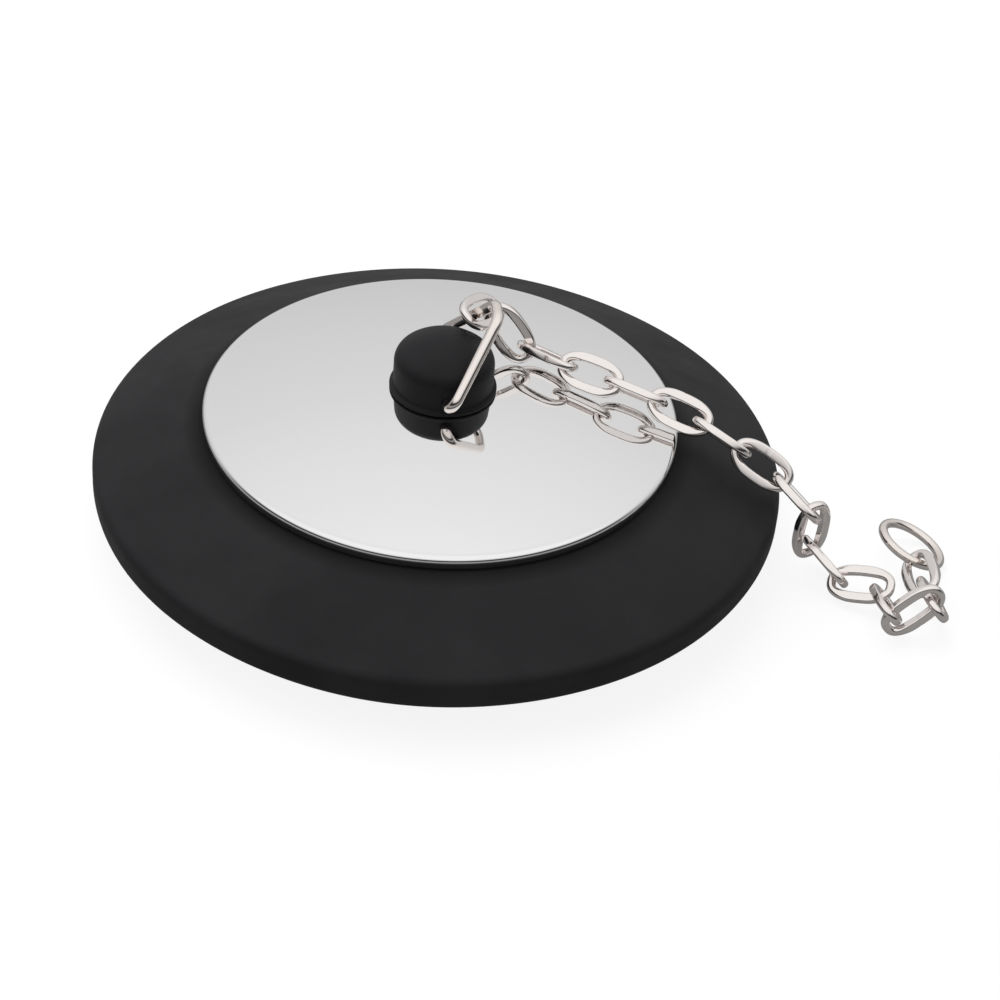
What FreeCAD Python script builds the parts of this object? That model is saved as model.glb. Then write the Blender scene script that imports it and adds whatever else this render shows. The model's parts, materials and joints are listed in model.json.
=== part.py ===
import FreeCAD, Part
import math
import os

os.makedirs("parts", exist_ok=True)
V = FreeCAD.Vector

# Rubber moulding: spigot below, sloping flange, rounded rim
rim_d = 110.0
rim_h = 5.0
rim_round = 1.5
skirt_rise = 7.2
skirt_ledge = 0.5
spigot_d = 44.0
spigot_h = 6.0
spigot_bevel = 1.0
hollow_d = 34.0
hollow_h = 3.5
relief_d = 98.0
relief_h = 3.5

# Domed steel face plate with its edge turned down
plate_d = 75.2
plate_t = 0.8
plate_edge_h = 1.8
plate_edge_round = 1.0
plate_rise = 4.55
plate_hole_gap = 0.4
pad_gap = 0.5
lip_gap = 0.1

# Knob that comes up through the plate
neck_d = 13.2
lip_d = 16.9
lip_t = 0.9
knob_d = 15.8
knob_side_h = 3.7
knob_dome_h = 4.6
knob_shoulder_share = 0.6
knob_hole_up = 1.4
knob_hole_gap = 0.2

# Wire bail: a triangle whose base runs through the knob
bail_wire_d = 1.8
bail_knob_gap = 0.3
bail_top_w = 4.4
bail_h = 14.0
bail_foot_bend = 1.6
bail_top_bend = 2.6
bail_turn = 8.0
bail_lean = 33.0
bail_hook_share = 0.37

# Flat-faced oval links
link_in_l = 8.0
link_in_w = 3.0
link_bar_w = 1.6
link_bar_t = 1.4
link_round = 0.4
link_slack = 0.3
bail_slack = 0.6

# Ring at the free end
ring_d = 12.0
ring_wire_d = 1.5

# How each link lies: heading, twist, what carries its far joint, slope or height as a share of link width
chain_rests = [
    (62.0, -14.0, "hangs", -17.0),
    (-15.3, -15.0, "over", 0.245),
    (-30.0, -14.0, "over", 0.520),
    (-20.1, -11.0, "over", 0.550),
    (-15.4, -4.5, "over", 0.550),
    (-12.8, 1.1, "over", 0.870),
    (-18.9, 4.3, "over", 0.800),
    (-17.0, 5.1, "over", 0.710),
    (-44.6, 4.6, "rim", 0.230),
    (144.5, -1.4, "hangs", -88.8),
    (-53.0, 0.4, "floor", 0.440),
    (-19.2, -4.0, "floor", 0.740),
    (-86.0, 12.0, "floor", 0.935),
    (18.9, 13.0, "floor", 1.320),
    (96.7, 12.0, "floor", 0.600),
    (96.5, -1.0, "floor", 0.520),
]
ring_rest = (95.0, -25.0, -5.0)

# Places worked out from the sizes
rim_r = rim_d / 2
rim_top = spigot_h + rim_h
seat_z = rim_top + skirt_rise
plate_r = plate_d / 2
plate_edge_z = seat_z + plate_edge_h
dome_r = (plate_r ** 2 + plate_rise ** 2) / (2 * plate_rise)
dome_z = plate_edge_z + plate_rise - dome_r
neck_r = neck_d / 2
plate_hole_r = neck_r + plate_hole_gap
knob_r = knob_d / 2


def dome(r):
    """Height of the face plate's upper side at radius r."""
    return dome_z + math.sqrt(dome_r ** 2 - r ** 2)


lip_z = dome(plate_hole_r) + lip_gap
knob_foot_z = lip_z + lip_t
pivot_z = knob_foot_z + knob_hole_up

# The bail's legs run past the knob's shoulder with their gap, which sets the width of its base
shoulder_r = knob_shoulder_share * knob_dome_h
shoulder_in = knob_r - shoulder_r
shoulder_up = knob_side_h - knob_hole_up
leg_in = shoulder_in - bail_top_w / 2
leg_down = bail_h - shoulder_up
leg_away = shoulder_r + bail_knob_gap + bail_wire_d / 2
leg_angle = math.atan2(leg_down, leg_in) - math.asin(leg_away / math.hypot(leg_in, leg_down))
bail_base_w = bail_top_w + 2 * bail_h / math.tan(leg_angle)

link_w = link_in_w + 2 * link_bar_w
link_l = link_in_l + 2 * link_bar_w
link_arc = (link_in_w + link_bar_w) / 2
link_half = (link_in_l - link_in_w) / 2


def at(r, z):
    """Point of a turned outline."""
    return V(r, 0, z)


def line(a, b):
    """Straight edge."""
    return Part.makeLine(a, b)


def arc(a, m, b):
    """Arc through three points."""
    return Part.Arc(a, m, b).toShape()


def turned(edges):
    """Solid turned about the upright axis from a closed outline."""
    return Part.Face(Part.Wire(edges)).revolve(V(0, 0, 0), V(0, 0, 1), 360)


def dome_arc(r1, r2, drop):
    """Arc that follows the plate's dome, lowered by drop."""
    rm = (r1 + r2) / 2
    return arc(at(r1, dome(r1) - drop), at(rm, dome(rm) - drop), at(r2, dome(r2) - drop))


def corner(a, p, b, size):
    """Rounding of corner p between its neighbours a and b: start, middle and end of the arc."""
    to_a = (a - p).normalize()
    to_b = (b - p).normalize()
    half = to_a.getAngle(to_b) / 2
    mid = (to_a + to_b).normalize()
    back = size / math.tan(half)
    centre = p + mid * (size / math.sin(half))
    return p + to_a * back, centre - mid * size, p + to_b * back


def knob_crown(z):
    """Shoulder arc and crown arc that meet smoothly, from the knob's side at height z up to the axis."""
    small = shoulder_r
    inset = shoulder_in
    big = (inset ** 2 + knob_dome_h ** 2 - small ** 2) / (2 * (knob_dome_h - small))
    low_z = z + knob_dome_h - big
    tilt = math.atan2(inset, z - low_z)
    side = (math.pi / 2 + tilt) / 2
    meet = at(big * math.sin(tilt), low_z + big * math.cos(tilt))
    shoulder = at(inset + small * math.sin(side), z + small * math.cos(side))
    crown = at(big * math.sin(tilt / 2), low_z + big * math.cos(tilt / 2))
    return [arc(at(knob_r, z), shoulder, meet), arc(meet, crown, at(0, z + knob_dome_h))]


def rubber_stopper():
    """Spigot, flange and knob in one moulding, with the cross hole for the bail."""
    spigot_r = spigot_d / 2
    hollow_r = hollow_d / 2
    relief_r = relief_d / 2
    lip_r = lip_d / 2
    relief_z = spigot_h + relief_h
    pad_r = plate_r - plate_t - pad_gap
    pad_drop = plate_t + pad_gap
    skirt_r = plate_r + skirt_ledge
    knob_side_z = knob_foot_z + knob_side_h
    low = corner(at(relief_r, spigot_h), at(rim_r, spigot_h), at(rim_r, rim_top), rim_round)
    high = corner(at(rim_r, spigot_h), at(rim_r, rim_top), at(skirt_r, seat_z), rim_round)
    path = [
        at(0, hollow_h),
        at(hollow_r, hollow_h),
        at(hollow_r, 0),
        at(spigot_r - spigot_bevel, 0),
        at(spigot_r, spigot_bevel),
        at(spigot_r, relief_z),
        at(relief_r, relief_z),
        at(relief_r, spigot_h),
        low[0],
    ]
    edges = [line(a, b) for a, b in zip(path, path[1:])]
    edges += [arc(*low), line(low[2], high[0]), arc(*high)]
    path = [high[2], at(skirt_r, seat_z), at(pad_r, seat_z), at(pad_r, dome(pad_r) - pad_drop)]
    edges += [line(a, b) for a, b in zip(path, path[1:])]
    edges.append(dome_arc(pad_r, neck_r, pad_drop))
    path = [
        at(neck_r, dome(neck_r) - pad_drop),
        at(neck_r, lip_z),
        at(lip_r, lip_z),
        at(lip_r, knob_foot_z),
        at(knob_r, knob_foot_z),
        at(knob_r, knob_side_z),
    ]
    edges += [line(a, b) for a, b in zip(path, path[1:])]
    edges += knob_crown(knob_side_z)
    edges.append(line(at(0, knob_side_z + knob_dome_h), at(0, hollow_h)))
    hole_r = bail_wire_d / 2 + knob_hole_gap
    hole = Part.makeCylinder(hole_r, 2 * lip_d, hinge_mid - hinge_dir * lip_d, hinge_dir)
    return turned(edges).cut(hole)


def face_plate():
    """Domed pressing with a turned-down edge, resting on the rubber's seat."""
    inner_r = plate_r - plate_t
    path = [
        at(plate_r, plate_edge_z),
        at(plate_r, seat_z),
        at(inner_r, seat_z),
        at(inner_r, dome(inner_r) - plate_t),
    ]
    edges = [dome_arc(plate_hole_r, plate_r, 0)]
    edges += [line(a, b) for a, b in zip(path, path[1:])]
    edges.append(dome_arc(inner_r, plate_hole_r, plate_t))
    edges.append(line(at(plate_hole_r, dome(plate_hole_r) - plate_t), at(plate_hole_r, dome(plate_hole_r))))
    plate = turned(edges)
    above = (seat_z + plate_edge_z) / 2
    top = [e for e in plate.Edges if e.BoundBox.ZMin > above and e.BoundBox.XLength > 2 * inner_r]
    return plate.makeFillet(plate_edge_round, top)


# Directions of the bail: its hinge, the way it leans, the leg that carries the chain
turn = math.radians(bail_turn)
lean = math.radians(bail_lean)
hinge_mid = V(0, 0, pivot_z)
hinge_dir = V(math.sin(turn), -math.cos(turn), 0)
bail_up = V(math.cos(turn) * math.sin(lean), math.sin(turn) * math.sin(lean), math.cos(lean))
leg_top = hinge_mid + bail_up * bail_h - hinge_dir * (bail_top_w / 2)
leg_foot = hinge_mid - hinge_dir * (bail_base_w / 2)


def wire_bail():
    """Round wire along a rounded triangle, closed under the knob's cross hole."""
    foot = bail_base_w / 2
    top = bail_top_w / 2
    pts = [V(-foot, 0, 0), V(foot, 0, 0), V(top, bail_h, 0), V(-top, bail_h, 0)]
    bends = [bail_foot_bend, bail_foot_bend, bail_top_bend, bail_top_bend]
    turns = [corner(pts[i - 1], pts[i], pts[(i + 1) % 4], bends[i]) for i in range(4)]
    edges = [line(V(0, 0, 0), turns[1][0]), arc(*turns[1])]
    edges += [line(turns[1][2], turns[2][0]), arc(*turns[2])]
    edges += [line(turns[2][2], turns[3][0]), arc(*turns[3])]
    edges += [line(turns[3][2], turns[0][0]), arc(*turns[0])]
    edges.append(line(turns[0][2], V(0, 0, 0)))
    section = Part.Wire(Part.makeCircle(bail_wire_d / 2, V(0, 0, 0), V(1, 0, 0)))
    bail = Part.Wire(edges).makePipeShell([section], True, False)
    face = hinge_dir.cross(bail_up)
    bail.Placement = FreeCAD.Placement(hinge_mid, FreeCAD.Rotation(hinge_dir, bail_up, face, "XYZ"))
    return bail


def stadium(length, width):
    """Flat oval with round ends, lying half a bar below the link's middle."""
    r = width / 2
    h = length / 2 - r
    z = -link_bar_t / 2
    edges = [
        line(V(-h, -r, z), V(h, -r, z)),
        arc(V(h, -r, z), V(h + r, 0, z), V(h, r, z)),
        line(V(h, r, z), V(-h, r, z)),
        arc(V(-h, r, z), V(-h - r, 0, z), V(-h, -r, z)),
    ]
    return Part.Face(Part.Wire(edges)).extrude(V(0, 0, link_bar_t))


def oval_link():
    """One link, its edges rounded."""
    link = stadium(link_l, link_w).cut(stadium(link_in_l, link_in_w))
    rims = [e for e in link.Edges if e.BoundBox.ZLength < link_round]
    return link.makeFillet(link_round, rims)


def heading_dir(heading, slope):
    """Direction from a plan heading and a slope, in radians."""
    return V(math.cos(heading) * math.cos(slope), math.sin(heading) * math.cos(slope), math.sin(slope))


def set_link(held, heading, twist, slope):
    """Lay one link from the joint before it: middle, direction, face, joint, far joint."""
    d = heading_dir(math.radians(heading), slope)
    if held is None:
        joint = leg_top + (leg_foot - leg_top) * bail_hook_share
        leg_dir = (leg_foot - leg_top).normalize()
        face = leg_dir - d * leg_dir.dot(d)
        back = bail_wire_d / 2 + bail_slack
    else:
        across = d - held[2] * held[2].dot(d)
        joint = held[0] + held[1] * link_half + across.normalize() * link_arc
        face = held[2].cross(d)
        back = link_bar_w / 2 + link_slack
    face.normalize()
    roll = math.radians(twist)
    face = face * math.cos(roll) + d.cross(face) * math.sin(roll)
    mid = joint + d * (link_in_l / 2 - back)
    return mid, d, face, joint, mid + d * (link_half + link_arc)


def ground(rest, p):
    """Height of what carries the chain under point p."""
    if rest == "rim":
        return rim_top
    if rest == "floor":
        return 0
    r = math.hypot(p.x, p.y)
    if r < plate_r:
        return dome(r)
    return seat_z - skirt_rise * (r - plate_r) / (rim_r - plate_r)


def rest_slope(held, heading, twist, rest, share):
    """Slope at which the link's far joint stands its share of the link width over what carries it."""
    low = math.radians(-86)
    high = math.radians(60)
    for step in range(40):
        mid = (low + high) / 2
        far = set_link(held, heading, twist, mid)[4]
        if far.z - ground(rest, far) > share * link_w:
            high = mid
        else:
            low = mid
    return (low + high) / 2


def chain_places():
    """Places of all links, from the bail to the free end."""
    places = []
    held = None
    for heading, twist, rest, amount in chain_rests:
        if rest == "hangs":
            slope = math.radians(amount)
        else:
            slope = rest_slope(held, heading, twist, rest, amount)
        held = set_link(held, heading, twist, slope)
        places.append(held)
    return places


def ring_place(held):
    """Middle, direction, face and joint of the end ring, hooked into the last link."""
    heading, twist, slope = ring_rest
    d = heading_dir(math.radians(heading), math.radians(slope))
    across = d - held[2] * held[2].dot(d)
    joint = held[0] + held[1] * link_half + across.normalize() * link_arc
    face = held[2].cross(d).normalize()
    roll = math.radians(twist)
    face = face * math.cos(roll) + d.cross(face) * math.sin(roll)
    mid = joint + d * (ring_d / 2 - ring_wire_d - link_bar_w / 2 - link_slack)
    return mid, d, face, joint


def laid(shape, place):
    """The shape moved to its place, its length along the direction and its flat side along the face."""
    side = place[2].cross(place[1])
    shape = shape.copy()
    shape.Placement = FreeCAD.Placement(place[0], FreeCAD.Rotation(place[1], side, place[2], "XYZ"))
    return shape


def end_ring():
    """Round-wire ring."""
    wire_r = ring_wire_d / 2
    return Part.makeTorus(ring_d / 2 - wire_r, wire_r)


places = chain_places()
parts = {
    "rubber_stopper": rubber_stopper(),
    "face_plate": face_plate(),
    "wire_bail": wire_bail(),
    "end_ring": laid(end_ring(), ring_place(places[-1])),
}
one_link = oval_link()
for i, place in enumerate(places):
    parts["chain_link_%02d" % (i + 1)] = laid(one_link, place)

for name, shape in parts.items():
    shape.exportStep("parts/" + name + ".step")
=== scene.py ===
import json
import math

import bmesh
import bpy
import numpy as np
from mathutils import Matrix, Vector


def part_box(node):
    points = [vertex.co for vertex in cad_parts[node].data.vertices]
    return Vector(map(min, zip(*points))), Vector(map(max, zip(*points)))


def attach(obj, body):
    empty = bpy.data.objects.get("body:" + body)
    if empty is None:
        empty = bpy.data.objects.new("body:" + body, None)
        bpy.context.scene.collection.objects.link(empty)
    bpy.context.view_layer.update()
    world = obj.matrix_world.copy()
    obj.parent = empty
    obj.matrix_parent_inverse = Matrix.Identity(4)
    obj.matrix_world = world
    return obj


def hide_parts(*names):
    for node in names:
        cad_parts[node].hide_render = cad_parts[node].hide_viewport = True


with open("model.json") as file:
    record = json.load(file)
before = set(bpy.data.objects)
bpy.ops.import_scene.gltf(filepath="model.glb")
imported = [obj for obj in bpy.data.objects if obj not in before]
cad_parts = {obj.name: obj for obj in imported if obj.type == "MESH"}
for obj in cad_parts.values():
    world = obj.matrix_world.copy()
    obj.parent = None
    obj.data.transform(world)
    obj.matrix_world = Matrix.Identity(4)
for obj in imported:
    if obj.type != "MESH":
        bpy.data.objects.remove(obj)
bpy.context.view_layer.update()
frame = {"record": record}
MM = 0.001
TURN = 2 * math.pi
UPRIGHT = np.array([0, 0, 1.0])

# Rubber moulding. Sizes of the part are in millimetres, here and below
RIM_R, RIM_TOP, RIM_LOW, RIM_ROUND, RIM_SOFT = 55.0, 11.0, 6.0, 1.5, 2.2
SEAT_Z, SKIRT_R = 18.2, 38.1
SPIGOT_R, SPIGOT_BEVEL, HOLLOW_R, HOLLOW_H = 22.0, 1.0, 17.0, 3.5
RELIEF_R, RELIEF_Z = 49.0, 9.5
NECK_R, LIP_R, LIP_T, LIP_SHOWN, LIP_SLOPE = 6.6, 8.45, 0.9, 0.55, 0.1
KNOB_R, KNOB_SIDE, KNOB_DOME, SHOULDER = 7.9, 3.7, 4.6, 2.76
PAD_GAP, LIP_GAP, HOLE_GAP = 0.5, 0.1, 0.05
INNER_ROUND, EDGE_SOFT, EDGE_FINE = 0.6, 0.4, 0.2

# The knob's two arcs start these degrees past the point before them, so that no point comes twice
SHOULDER_START, DOME_START = 2, 1

# Swells of the moulded rim, outwards and upwards: size, waves in a turn, phase.
# The inset keeps them within the solid
RIM_INSET = 0.12
SWELLS_OUT = [(0.08, 3, 0.7), (0.04, 8, 2.1)]
SWELLS_UP = [(0.10, 2, 1.3), (0.06, 5, 0.0)]

# Domed face plate
PLATE_R, PLATE_T, EDGE_Z, EDGE_ROUND, EDGE_BREAK = 37.6, 0.8, 20.0, 1.0, 0.12
RISE, HOLE_R = 4.55, 7.0
DOME_R = (PLATE_R ** 2 + RISE ** 2) / (2 * RISE)

# Wire bail, which leans by degrees
BAIL_WIRE, BAIL_TOP, BAIL_H, FOOT_BEND, TOP_BEND = 0.9, 2.2, 14.0, 1.6, 2.6
BAIL_LEAN, BAIL_GAP, HOLE_UP = 33.0, 0.3, 1.4

# Oval links: half sizes and fullness of the middle line, the flat bar, and how it turns into wire at the ends
LINKS = 16
LINK_LONG, LINK_WIDE, LINK_FULL = 4.8, 2.3, 2.6
BAR_W, BAR_T, BAR_CORNER = 1.52, 1.34, 0.28
END_SLIM, END_CORNER, END_FROM, END_SPAN = 0.1, 0.62, 1.6, 2.9

# End ring
RING_R, RING_WIRE = 5.25, 0.745

# Closing seams: depth as a share of the bar, place (along the link, round the ring in radians) and half width
LINK_SEAM = (0.05, -0.4, 0.12)
RING_SEAM = (0.06, 4.0, 0.03)

# Points round the turned pieces, the cross hole, a wire, a link and the ring.
# Two are one when they are this near, in metres
RUBBER_N, PLATE_N, HOLE_N, WIRE_N, LINK_N, RING_N = 288, 320, 40, 28, 132, 96
SAME_POINT = 1e-7

# Colours, one of them a painted shadow, and the part of a noise's range that a finish uses
NOISE_SPAN = (0.3, 0.7)
RUBBER_DARK, RUBBER_BLOOM = (0.0065, 0.0065, 0.0075), (0.0120, 0.0120, 0.0132)
# The first tone and the band width on the next line are a painted contact shadow on the rubber: near-black
# base colour in a ring round the plate's edge, fading out over the band in millimetres
RUBBER_PAINTED_SHADOW, PAINTED_SHADOW_BAND, RUBBER_SHEEN = (0.001, 0.001, 0.001), 2.5, 0.16
STEEL_TINT, CHAIN_TINT, WIRE_TINT = (0.86, 0.86, 0.86), (0.87, 0.82, 0.795), (0.86, 0.795, 0.755)

# Floor, in metres: its own tone, and for each kind of ray the share and level of a plain glow
FLOOR_HALF, FLOOR_TONE, FLOOR_ROUGH = 6, (0.86, 0.86, 0.86), 0.9
FLOOR_GLOWS = [("Is Camera Ray", 0.88, 1.0), ("Is Glossy Ray", 0.9, 0.22)]

# Room that metal sees: greys from the level up to overhead, behind and on the near side, and where one turns
# into the other. Everything else is lit at one plain level
WALL_TONES = [(0.0, 0.62), (0.15, 0.66), (0.6, 0.78), (0.85, 0.90), (1.0, 1.0)]
NEAR_TONES = [(0.0, 0.02), (0.27, 0.04), (0.45, 0.74), (0.66, 1.0)]
NEAR_END, WALL_START = -0.2, 0.5
PLAIN_LEVEL = 0.62

# Lamps, in metres and watts: name, place, side length, power
LAMPS = [("top_box", (-0.25, 0.35, 0.9), 0.9, 9.0), ("left_box", (-0.8, -0.2, 0.6), 0.5, 2.5)]
LAMP_AIM = (0, 0, 0.02)

# Camera fitted to the outlines of rim and plate
CAM_PLACE = np.array([10.484, -332.530, 261.523]) * MM
CAM_DOWN, CAM_ROLL = math.radians(37.876), math.radians(4.961)
CAM_SENSOR, CAM_LENS = 36.0, 93.6
CAM_NEAR, CAM_FAR = 0.01, 30.0


def dome(r):
    """Height of the plate's upper side: a sphere through the edge, RISE higher at the middle."""
    return EDGE_Z + RISE - DOME_R + np.sqrt(DOME_R ** 2 - np.asarray(r, float) ** 2)


LIP_Z = float(dome(HOLE_R)) + LIP_GAP
KNOB_FOOT = LIP_Z + LIP_T


def unit(v):
    """The vector at length one."""
    return np.asarray(v, float) / np.linalg.norm(v)


def added(name, data):
    """A new object in the scene."""
    obj = bpy.data.objects.new(name, data)
    bpy.context.scene.collection.objects.link(obj)
    return obj


def aimed(obj, side, up, back, place):
    """A lamp or camera turned by three directions and put in its place."""
    m = np.eye(4)
    m[:3, 0], m[:3, 1], m[:3, 2], m[:3, 3] = side, up, back, place
    obj.matrix_world = Matrix(m.tolist())


def cleaned(obj, crease):
    """Doubles merged, faces turned outwards, edges sharp past an angle in degrees."""
    bm = bmesh.new()
    bm.from_mesh(obj.data)
    bmesh.ops.remove_doubles(bm, verts=bm.verts, dist=SAME_POINT)
    bmesh.ops.recalc_face_normals(bm, faces=bm.faces)
    bm.to_mesh(obj.data)
    bm.free()
    obj.data.polygons.foreach_set("use_smooth", np.ones(len(obj.data.polygons), bool))
    obj.data.set_sharp_from_angle(angle=math.radians(crease))
    return obj


def grid_mesh(name, pts, close_v, crease=40.0):
    """Mesh of a grid of points that closes on itself along its rows, and along its columns where asked."""
    nu, nv = pts.shape[:2]
    u = np.arange(nu)[:, None]
    v = np.arange(nv if close_v else nv - 1)[None, :]
    ahead, beside = (u + 1) % nu, (v + 1) % nv
    quads = np.stack([u * nv + v, ahead * nv + v, ahead * nv + beside, u * nv + beside], -1).reshape(-1, 4)
    mesh = bpy.data.meshes.new(name)
    mesh.from_pydata((pts.reshape(-1, 3) * MM).tolist(), [], quads.tolist())
    return cleaned(added(name, mesh), crease)


def arc_rz(centre, size, start, stop, n):
    """Points of an arc in radius and height, angles in degrees from the outward direction."""
    t = np.radians(np.linspace(start, stop, n))
    return np.stack([centre[0] + size * np.cos(t), centre[1] + size * np.sin(t)], 1)


def runs_between(p, q, step):
    """Even points from p up to but not at q, no further apart than step."""
    k = max(1, int(math.ceil(math.dist(p, q) / step)))
    return np.linspace(p, q, k, endpoint=False)


def bent_path(corners, step, closed=False, n=12):
    """Path through corners (x, y, bend): straight runs, and at each corner an arc that meets both runs."""
    p = np.array([c[:2] for c in corners], float)
    arcs = []
    for i, bend in enumerate(c[2] for c in corners):
        if bend == 0:
            arcs.append(p[i:i + 1])
            continue
        a, b = unit(p[i - 1] - p[i]), unit(p[(i + 1) % len(p)] - p[i])
        half = math.acos(a @ b) / 2
        centre = p[i] + unit(a + b) * bend / math.sin(half)
        start = p[i] + a * bend / math.tan(half) - centre
        t = np.linspace(0, math.pi - 2 * half, n) * np.sign(a[1] * b[0] - a[0] * b[1])
        arcs.append(centre + np.stack([start[0] * np.cos(t) - start[1] * np.sin(t),
                                       start[0] * np.sin(t) + start[1] * np.cos(t)], 1))
    out = []
    for i, arc in enumerate(arcs):
        out.append(arc[:-1])
        if closed or i < len(arcs) - 1:
            out.append(runs_between(arc[-1], arcs[(i + 1) % len(arcs)][0], step))
        else:
            out.append(arc[-1:])
    return np.concatenate(out)


def lathe(name, profile, n, wave=None, crease=40.0):
    """A profile of radius and height turned round the upright axis; wave moves its points."""
    prof = np.concatenate([np.atleast_2d(p) for p in profile]).astype(float)
    t = np.linspace(0, TURN, n, endpoint=False)[:, None]
    r, z = np.repeat(prof[None, :, 0], n, 0), np.repeat(prof[None, :, 1], n, 0)
    if wave is not None:
        r, z = wave(t, r, z)
    return grid_mesh(name, np.stack([r * np.cos(t), r * np.sin(t), z], -1), False, crease)


def round_section(r):
    """Circle of radius r."""
    t = np.linspace(0, TURN, WIRE_N, endpoint=False)
    return np.stack([r * np.cos(t), r * np.sin(t)], 1)


def bar_section(w, h, r, n=9):
    """Rectangle w by h whose four corners are quarter circles of radius r."""
    t = (np.linspace(0, math.pi / 2, n)[None] + np.arange(4)[:, None] * math.pi / 2).ravel()
    sx, sy = np.repeat([1, -1, -1, 1], n), np.repeat([1, 1, -1, -1], n)
    return np.stack([sx * (w / 2 - r) + r * np.cos(t), sy * (h / 2 - r) + r * np.sin(t)], 1)


def tube(name, path, side, up, sections):
    """A section carried round a closed path: to each point, side and up times the section's numbers."""
    pts = path[:, None] + side[:, None] * sections[..., :1] + up * sections[..., 1:]
    return grid_mesh(name, pts, True, 60.0)


def outward_of(path):
    """Directions square to a closed plane path that runs anticlockwise, pointing away from its middle."""
    ahead = np.roll(path, -1, 0) - np.roll(path, 1, 0)
    ahead = ahead / np.linalg.norm(ahead, axis=1, keepdims=True)
    return np.stack([ahead[:, 1], -ahead[:, 0]], 1)


def placed(flat, mid, along, across):
    """Plane points carried to a place by two directions."""
    return mid + flat[:, :1] * along + flat[:, 1:] * across


def seam_dip(where, depth, at, width):
    """How much a bar thins where its wire was closed."""
    return depth * np.exp(-((where - at) / width) ** 2)


def joint_of(body):
    """Place in millimetres and direction of the hinge that carries a body."""
    j = next(j for j in frame["record"]["behaviour"]["joints"] if j["child"] == body)
    return np.array(j["pos_m"]) / MM, unit(j["axis"])


def middle_of(node):
    """Middle of a node's box in millimetres, which is the middle of a link or a ring."""
    low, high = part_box(node)
    return (np.array(low) + np.array(high)) / 2 / MM


def dressed(obj, node, body, material):
    """The piece stands for its node, moves with its body and takes its finish."""
    obj.data.materials.clear()
    obj.data.materials.append(material)
    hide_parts(node)
    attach(obj, body)


class Nodes:
    """A node tree and short ways to add and join its nodes."""

    def __init__(self, tree):
        self.tree = tree

    def node(self, kind, values=None, **props):
        """A node with its settings and socket values."""
        n = self.tree.nodes.new("ShaderNode" + kind)
        for k, x in props.items():
            setattr(n, k, x)
        for k, x in (values or {}).items():
            n.inputs[k].default_value = x
        return n

    def join(self, a, b):
        """A link from an output to an input."""
        self.tree.links.new(a, b)

    def span(self, fac, low, high, out_low, out_high, **props):
        """A number taken from one span to another and held at its ends."""
        ends = {"From Min": low, "From Max": high, "To Min": out_low, "To Max": out_high}
        n = self.node("MapRange", ends, **props)
        self.join(fac, n.inputs["Value"])
        return n.outputs["Result"]

    def calc(self, operation, first, second=0.0):
        """A number worked out from one number and, where it takes two, another number or a plain value."""
        n = self.node("Math", operation=operation)
        self.join(first, n.inputs[0])
        if isinstance(second, float):
            n.inputs[1].default_value = second
        else:
            self.join(second, n.inputs[1])
        return n.outputs[0]

    def tones(self, fac, stops):
        """Colours along a number."""
        n = self.node("ValToRGB")
        while len(n.color_ramp.elements) < len(stops):
            n.color_ramp.elements.new(0.5)
        for e, (p, c) in zip(n.color_ramp.elements, stops):
            e.position, e.color = p, (*c, 1)
        self.join(fac, n.inputs["Fac"])
        return n.outputs["Color"]

    def blend(self, share, first, second):
        """First colour turning into the second by a share; either may be a plain colour."""
        n = self.node("Mix", data_type="RGBA")
        self.join(share, n.inputs["Factor"])
        for socket, colour in (("A", first), ("B", second)):
            if isinstance(colour, tuple):
                n.inputs[socket].default_value = (*colour, 1)
            else:
                self.join(colour, n.inputs[socket])
        return n.outputs["Result"]


class Finish(Nodes):
    """A material on the piece's own coordinates."""

    def __init__(self, name):
        self.mat = bpy.data.materials.new(name)
        self.mat.use_nodes = True
        super().__init__(self.mat.node_tree)
        self.bsdf = self.tree.nodes["Principled BSDF"]
        self.place = self.node("TexCoord").outputs["Object"]

    def set(self, name, value):
        """A plain value of the surface, or a number or colour from other nodes."""
        if isinstance(value, bpy.types.NodeSocket):
            self.join(value, self.bsdf.inputs[name])
        else:
            self.bsdf.inputs[name].default_value = value

    def noise(self, scale, detail, rough=0.55):
        """Noise, scale in blotches to the metre."""
        n = self.node("TexNoise", {"Scale": scale, "Detail": detail, "Roughness": rough})
        self.join(self.place, n.inputs["Vector"])
        return n.outputs["Fac"]

    def gloss(self, noise, low, high):
        """Roughness that follows a noise from low to high."""
        self.set("Roughness", self.span(noise, *NOISE_SPAN, low, high))

    def bump(self, fac, strength, distance):
        """Small relief from a number, depth in metres."""
        n = self.node("Bump", {"Strength": strength, "Distance": distance})
        self.join(fac, n.inputs["Height"])
        self.set("Normal", n.outputs["Normal"])


def grey(level):
    """A colour of one level."""
    return (level, level, level)


def moulded_rubber():
    """Black rubber with a faint bloom in blotches and a fine skin grain, and a painted contact shadow:
    near-black colour in a band round the plate's edge.
    """
    f = Finish("moulded_rubber")
    blotches = f.noise(scale=38.0, detail=5.0, rough=0.6)
    bloom = f.tones(blotches, list(zip(NOISE_SPAN, (RUBBER_DARK, RUBBER_BLOOM))))
    flat = f.node("VectorMath", {1: (1, 1, 0)}, operation="MULTIPLY")
    f.join(f.place, flat.inputs[0])
    radius = f.node("VectorMath", operation="LENGTH")
    f.join(flat.outputs["Vector"], radius.inputs[0])
    # Painted contact shadow: the base colour turns near black at the plate's edge and fades back to the
    # rubber's tone over the band on either side
    beyond = f.calc("SUBTRACT", radius.outputs["Value"], SKIRT_R * MM)
    off = f.calc("ABSOLUTE", beyond)
    f.set("Base Color", f.blend(f.span(off, 0.0, PAINTED_SHADOW_BAND * MM, 0.0, 1.0), RUBBER_PAINTED_SHADOW, bloom))
    f.gloss(f.noise(scale=120.0, detail=3.0), low=0.46, high=0.58)
    f.set("Specular IOR Level", RUBBER_SHEEN)
    f.bump(f.noise(scale=1600.0, detail=3.0, rough=0.6), strength=0.12, distance=0.0001)
    return f.mat


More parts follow.
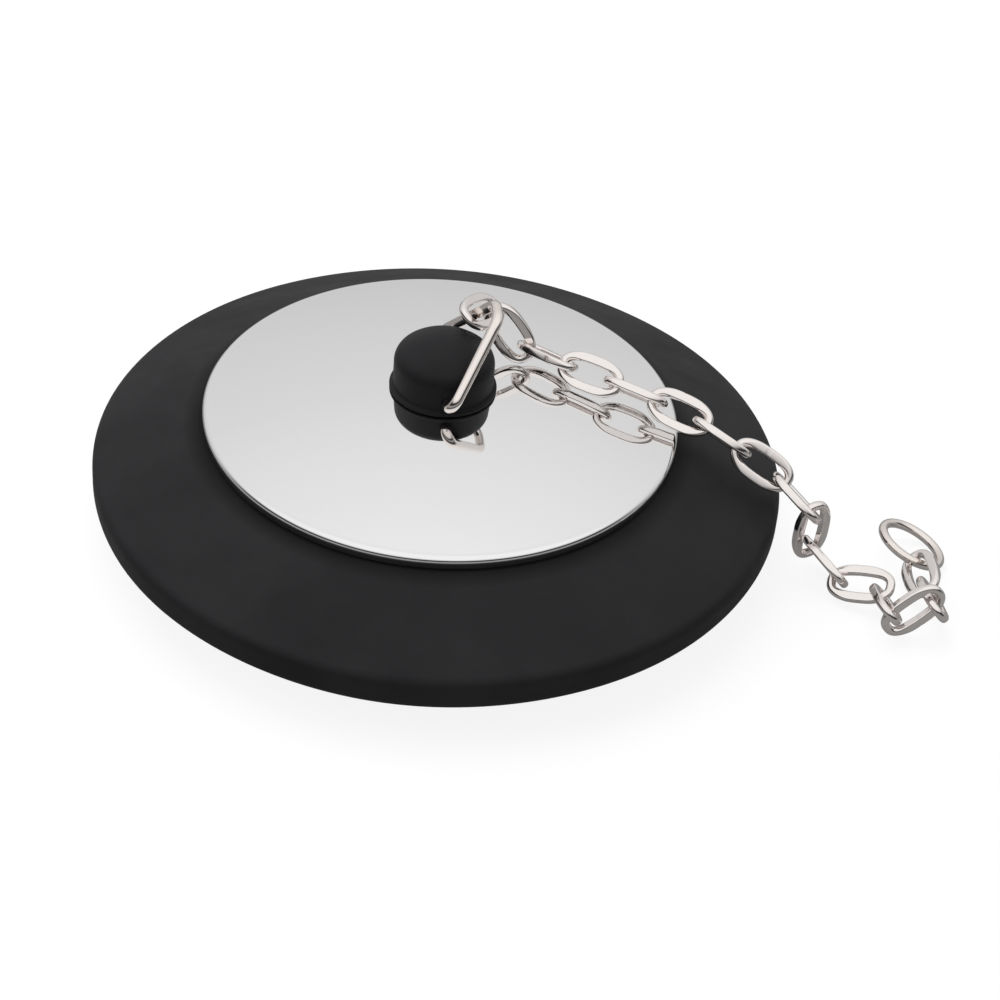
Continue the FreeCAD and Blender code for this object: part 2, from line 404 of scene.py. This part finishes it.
def mirror_steel():
    """Pressed steel polished to a mirror, with the faintest cloud in the polish."""
    f = Finish("mirror_steel")
    f.set("Base Color", (*STEEL_TINT, 1))
    f.set("Metallic", 1.0)
    f.gloss(f.noise(scale=60.0, detail=4.0), low=0.025, high=0.05)
    f.bump(f.noise(scale=24.0, detail=2.0), strength=0.02, distance=0.0002)
    return f.mat


def bright_nickel(name, tint, low, high):
    """Nickel plate with fine rub marks in its gloss."""
    f = Finish(name)
    f.set("Base Color", (*tint, 1))
    f.set("Metallic", 1.0)
    f.gloss(f.noise(scale=420.0, detail=4.0, rough=0.6), low, high)
    f.bump(f.noise(scale=260.0, detail=3.0), strength=0.06, distance=0.0001)
    return f.mat


rubber = moulded_rubber()
steel = mirror_steel()
chain_nickel = bright_nickel("chain_nickel", CHAIN_TINT, low=0.06, high=0.16)
wire_nickel = bright_nickel("wire_nickel", WIRE_TINT, low=0.08, high=0.16)


def rubber_profile():
    """Outline of the moulding: underside, rim, up the skirt, under the plate, over the knob."""
    pad_r, drop = PLATE_R - PLATE_T - PAD_GAP, PLATE_T + PAD_GAP
    side = KNOB_FOOT + KNOB_SIDE
    inset = KNOB_R - SHOULDER
    big = (inset ** 2 + KNOB_DOME ** 2 - SHOULDER ** 2) / (2 * (KNOB_DOME - SHOULDER))
    meet = 90 - math.degrees(math.atan2(inset, big - KNOB_DOME))
    pad = np.linspace(pad_r, NECK_R, num=30)
    under = bent_path([
        (0, HOLLOW_H, 0),
        (HOLLOW_R, HOLLOW_H, INNER_ROUND),
        (HOLLOW_R, 0, EDGE_SOFT),
        (SPIGOT_R - SPIGOT_BEVEL, 0, EDGE_FINE),
        (SPIGOT_R, SPIGOT_BEVEL, EDGE_FINE),
        (SPIGOT_R, RELIEF_Z, INNER_ROUND),
        (RELIEF_R, RELIEF_Z, INNER_ROUND),
        (RELIEF_R, RIM_LOW, EDGE_SOFT),
        (RIM_R, RIM_LOW, RIM_ROUND),
        (RIM_R, RIM_TOP, RIM_SOFT),
        (SKIRT_R, SEAT_Z, EDGE_SOFT),
        (pad_r, SEAT_Z, 0),
    ], step=1.2)
    knob = bent_path([
        (NECK_R, LIP_Z, 0),
        (LIP_R, LIP_Z, EDGE_FINE),
        (LIP_R, LIP_Z + LIP_SHOWN, EDGE_FINE),
        (KNOB_R, LIP_Z + LIP_SHOWN + LIP_SLOPE, EDGE_FINE),
        (KNOB_R, side, 0),
    ], step=0.5, n=6)
    return [
        under,
        np.stack([pad, dome(pad) - drop], 1),
        knob,
        arc_rz((inset, side), SHOULDER, SHOULDER_START, meet, n=16),
        arc_rz((0, side + KNOB_DOME - big), big, meet + DOME_START, 90, n=24),
    ]


def swell(t, waves):
    """Slow waves round the axis, added up."""
    return sum(size * np.sin(count * t + phase) for size, count, phase in waves)


def moulded(t, r, z):
    """Soft unevenness of a rubber moulding: slow swells round the rim, none at the knob and the seat."""
    rim = np.clip((r - SKIRT_R) / (RIM_R - SKIRT_R), 0, 1) ** 2
    return r + rim * (swell(t, SWELLS_OUT) - RIM_INSET), z + rim * swell(t, SWELLS_UP)


def plate_profile():
    """Outline of the pressing: over the dome, round the edge, down, and back underneath to the hole."""
    out = np.linspace(HOLE_R, PLATE_R - EDGE_ROUND, num=90)
    top = float(dome(PLATE_R - EDGE_ROUND))
    tilt = math.degrees(math.asin((PLATE_R - EDGE_ROUND) / DOME_R))
    inner = np.linspace(PLATE_R - PLATE_T, HOLE_R, num=40)
    return [
        np.stack([out, dome(out)], 1),
        arc_rz((PLATE_R - EDGE_ROUND, top - EDGE_ROUND), EDGE_ROUND, 90 - tilt, 0, n=14),
        [(PLATE_R, SEAT_Z + EDGE_BREAK), (PLATE_R - EDGE_BREAK, SEAT_Z), (PLATE_R - PLATE_T, SEAT_Z)],
        np.stack([inner, dome(inner) - PLATE_T], 1),
        [(HOLE_R, float(dome(HOLE_R)))],
    ]


def with_cross_hole(obj, mid, along, radius, length):
    """The piece with a round hole through it, cut along a direction and kept as plain mesh."""
    t = np.linspace(0, TURN, HOLE_N, endpoint=False)[:, None]
    x = unit(np.cross(along, UPRIGHT))
    ring = radius * (np.cos(t) * x + np.sin(t) * np.cross(along, x))
    ends = np.zeros_like(ring)
    rows = np.stack([mid - along * length + ends, mid - along * length + ring,
                     mid + along * length + ring, mid + along * length + ends], 1)
    cutter = grid_mesh("cutter", rows, False)
    cut = obj.modifiers.new("cross_hole", "BOOLEAN")
    cut.object, cut.operation, cut.solver = cutter, "DIFFERENCE", "EXACT"
    done = bpy.data.meshes.new_from_object(obj.evaluated_get(bpy.context.evaluated_depsgraph_get()))
    obj.modifiers.clear()
    obj.data = done
    bpy.data.objects.remove(cutter)
    return cleaned(obj, 35.0)


def bail_corners():
    """The bail's four corners: its legs pass the knob's shoulder with a gap, which sets where they end."""
    inward, down = KNOB_R - SHOULDER - BAIL_TOP, BAIL_H - (KNOB_SIDE - HOLE_UP)
    away = SHOULDER + BAIL_GAP + BAIL_WIRE
    angle = math.atan2(down, inward) - math.asin(away / math.hypot(inward, down))
    foot = BAIL_TOP + BAIL_H / math.tan(angle)
    return [
        (-foot, 0, FOOT_BEND),
        (foot, 0, FOOT_BEND),
        (BAIL_TOP, BAIL_H, TOP_BEND),
        (-BAIL_TOP, BAIL_H, TOP_BEND),
    ]


def oval_path():
    """Middle line of a link: a full oval, each coordinate its half size times a power of cosine or sine."""
    t = np.linspace(0, TURN, LINK_N, endpoint=False)
    c, s = np.cos(t), np.sin(t)
    power = 2 / LINK_FULL
    return np.stack([LINK_LONG * np.sign(c) * np.abs(c) ** power,
                     LINK_WIDE * np.sign(s) * np.abs(s) ** power], 1)


def link_sections(path):
    """Flat-cut bar along the sides, nearly round wire at the ends, and a small dip at the seam."""
    ends = np.clip((np.abs(path[:, 0]) - END_FROM) / END_SPAN, 0, 1)[:, None, None]
    ends = ends * ends * (3 - 2 * ends)
    flat, wire = bar_section(BAR_W, BAR_T, BAR_CORNER), bar_section(BAR_W - END_SLIM, BAR_T, END_CORNER)
    seam = 1 - seam_dip(path[:, 0], *LINK_SEAM) * (path[:, 1] > 0)
    return (flat[None] * (1 - ends) + wire[None] * ends) * seam[:, None, None]


hinge_mid, hinge_dir = joint_of("bail")

# Rubber moulding and face plate
stopper = lathe("stopper_moulding", rubber_profile(), RUBBER_N, moulded)
stopper = with_cross_hole(stopper, hinge_mid, hinge_dir, BAIL_WIRE + HOLE_GAP, 2 * KNOB_R)
dressed(stopper, "rubber_stopper", "stopper", rubber)
plate = lathe("plate_pressing", plate_profile(), PLATE_N, crease=50.0)
dressed(plate, "face_plate", "stopper", steel)

# Wire bail
lean = math.radians(BAIL_LEAN)
bail_up = np.cross(UPRIGHT, hinge_dir) * math.sin(lean) + UPRIGHT * math.cos(lean)
flat = bent_path(bail_corners(), step=0.4, closed=True)
bail_path = placed(flat, hinge_mid, hinge_dir, bail_up)
bail_out = placed(outward_of(flat), 0, hinge_dir, bail_up)
bail = tube("bail_wire", bail_path, bail_out, np.cross(hinge_dir, bail_up), round_section(BAIL_WIRE)[None])
dressed(bail, "wire_bail", "bail", wire_nickel)

# Chain: each link lies along the line from its hinge to its middle, its face square to the hinge
oval = oval_path()
oval_out, oval_bars = outward_of(oval), link_sections(oval)
for i in range(1, LINKS + 1):
    body, node = "link_%02d" % i, "chain_link_%02d" % i
    pin, face = joint_of(body)
    mid = middle_of(node)
    along = unit(mid - pin)
    across = np.cross(face, along)
    link_path, link_out = placed(oval, mid, along, across), placed(oval_out, 0, along, across)
    link = tube("oval_link_%02d" % i, link_path, link_out, face, oval_bars)
    dressed(link, node, body, chain_nickel)

# End ring
face = joint_of("ring")[1]
t = np.linspace(0, TURN, RING_N, endpoint=False)
along = unit(np.cross(face, (1.0, 0, 0)))
hoop = placed(np.stack([np.cos(t), np.sin(t)], 1), 0, along, np.cross(face, along))
ring_bars = round_section(RING_WIRE)[None] * (1 - seam_dip(t, *RING_SEAM))[:, None, None]
ring = tube("ring_wire", middle_of("end_ring") + RING_R * hoop, hoop, face, ring_bars)
dressed(ring, "end_ring", "ring", wire_nickel)


def pale_floor():
    """Floor that is white to the eye and grey in metal, and still takes the object's shadow."""
    f = Finish("pale_floor")
    f.set("Base Color", (*FLOOR_TONE, 1))
    f.set("Roughness", FLOOR_ROUGH)
    f.set("Specular IOR Level", 0.0)
    path = f.node("LightPath")
    shown = f.bsdf.outputs[0]
    for ray, share, level in FLOOR_GLOWS:
        glow = f.node("Emission", {"Color": (*grey(level), 1), "Strength": 1.0})
        mix = f.node("MixShader")
        f.join(f.calc("MULTIPLY", path.outputs[ray], share), mix.inputs["Fac"])
        f.join(shown, mix.inputs[1])
        f.join(glow.outputs[0], mix.inputs[2])
        shown = mix.outputs[0]
    f.join(shown, f.tree.nodes["Material Output"].inputs["Surface"])
    return f.mat


corners = [(-FLOOR_HALF, -FLOOR_HALF, 0), (FLOOR_HALF, -FLOOR_HALF, 0),
           (FLOOR_HALF, FLOOR_HALF, 0), (-FLOOR_HALF, FLOOR_HALF, 0)]
floor_mesh = bpy.data.meshes.new("floor")
floor_mesh.from_pydata(corners, [], [(0, 1, 2, 3)])
floor_mesh.materials.append(pale_floor())
floor = added("floor", floor_mesh)


def studio_world():
    """White to the eye; to metal a pale wall behind, white overhead and a dark room low on the near side."""
    world = bpy.data.worlds.new("studio")
    world.use_nodes = True
    w = Nodes(world.node_tree)
    path = w.node("LightPath")
    where = w.node("SeparateXYZ")
    w.join(w.node("TexCoord").outputs["Generated"], where.inputs[0])
    wall, near = (w.tones(where.outputs["Z"], [(p, grey(level)) for p, level in stops])
                  for stops in (WALL_TONES, NEAR_TONES))
    turned = w.span(where.outputs["Y"], NEAR_END, WALL_START, 0.0, 1.0, interpolation_type="SMOOTHSTEP")
    lit = w.blend(path.outputs["Is Glossy Ray"], grey(PLAIN_LEVEL), w.blend(turned, near, wall))
    clear = w.calc("MAXIMUM", path.outputs["Is Camera Ray"], path.outputs["Is Transmission Ray"])
    w.join(w.blend(clear, lit, grey(1.0)), w.tree.nodes["Background"].inputs["Color"])
    return world


bpy.context.scene.world = studio_world()

# Square lamps that point at the object and don't show in metal
for name, place, size, power in LAMPS:
    lamp = bpy.data.lights.new(name, "AREA")
    lamp.size, lamp.energy = size, power
    box = added(name, lamp)
    back = unit(np.array(place) - np.array(LAMP_AIM))
    side = unit(np.cross(UPRIGHT, back))
    aimed(box, side, np.cross(back, side), back, place)
    box.visible_glossy = False

# Camera
lens = bpy.data.cameras.new("view")
lens.sensor_fit, lens.sensor_width, lens.lens = "HORIZONTAL", CAM_SENSOR, CAM_LENS
lens.clip_start, lens.clip_end = CAM_NEAR, CAM_FAR
camera = added("view", lens)
right = np.array([1.0, 0, 0])
back = np.array([0, -math.cos(CAM_DOWN), math.sin(CAM_DOWN)])
up = np.array([0, math.sin(CAM_DOWN), math.cos(CAM_DOWN)])
rolled_right = math.cos(CAM_ROLL) * right + math.sin(CAM_ROLL) * up
rolled_up = -math.sin(CAM_ROLL) * right + math.cos(CAM_ROLL) * up
aimed(camera, rolled_right, rolled_up, back, CAM_PLACE)
bpy.context.scene.camera = camera
bpy.context.scene.view_settings.view_transform = "Standard"
